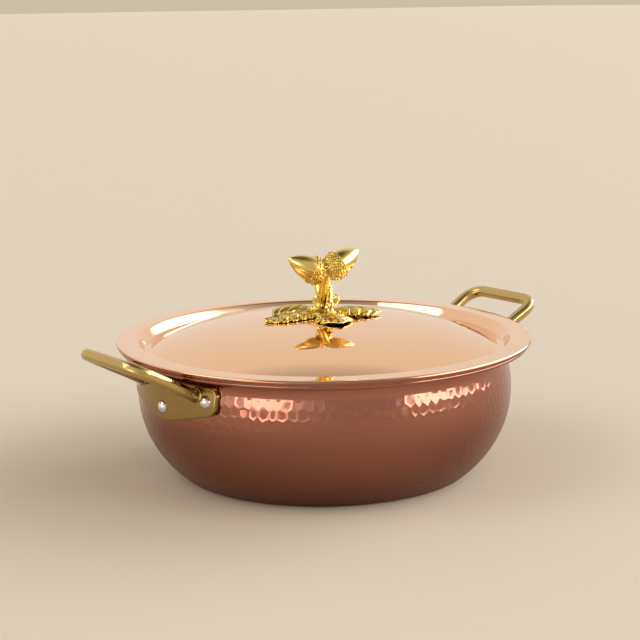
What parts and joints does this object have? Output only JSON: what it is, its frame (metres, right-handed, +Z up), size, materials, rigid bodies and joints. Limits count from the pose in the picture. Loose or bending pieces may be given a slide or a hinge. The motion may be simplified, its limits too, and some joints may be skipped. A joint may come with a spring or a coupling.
{
  "type": "lidded copper pan",
  "caption": "Low round hammered copper pan with riveted brass loop handles and a lift-off domed lid with an acorn and oak leaf knob.",
  "frame": {"origin": "centre of the flat base, on the table", "axes": "+Z up through the knob, +X from the left handle to the right handle"},
  "size_m": [0.3472, 0.28, 0.1492],
  "materials": {
    "hammered_copper": "hammered and polished bare copper with an even pattern of small planished facets",
    "polished_copper": "mirror polished bare copper",
    "tin": "satin wiped tin",
    "cast_brass": "cast brass, polished, with an antique tone",
    "steel": "polished stainless steel",
    "gilt_bright": "mirror polished yellow brass",
    "gilt_rough": "cast yellow brass with a scaly surface",
    "gilt_leaf": "cast yellow brass with chased veins"
  },
  "bodies": {
    "pan": {"pan_shell": "hammered_copper", "pan_lining": "tin", "left_handle": "cast_brass", "right_handle": "cast_brass", "left_handle_rivets": "steel", "right_handle_rivets": "steel"},
    "lid": {"lid_shell": "polished_copper", "lid_lining": "tin", "knob_screw": "steel", "knob_washer": "steel", "acorn_cup_left": "gilt_rough", "acorn_cup_right": "gilt_rough", "acorn_nut_left": "gilt_bright", "acorn_nut_right": "gilt_bright", "twig_left": "gilt_bright", "twig_right": "gilt_bright", "twig_back": "gilt_bright", "knob_foot": "gilt_bright", "knob_bud": "gilt_bright", "leaf_front_left": "gilt_leaf", "leaf_back_left": "gilt_leaf", "leaf_right": "gilt_leaf", "leaf_front": "gilt_leaf", "leaf_back": "gilt_leaf"}
  },
  "joints": [
    {"name": "lid_lift", "type": "slide", "parent": "pan", "child": "lid", "axis": [0, 0, 1], "range_m": [0, 0.15]}
  ]
}
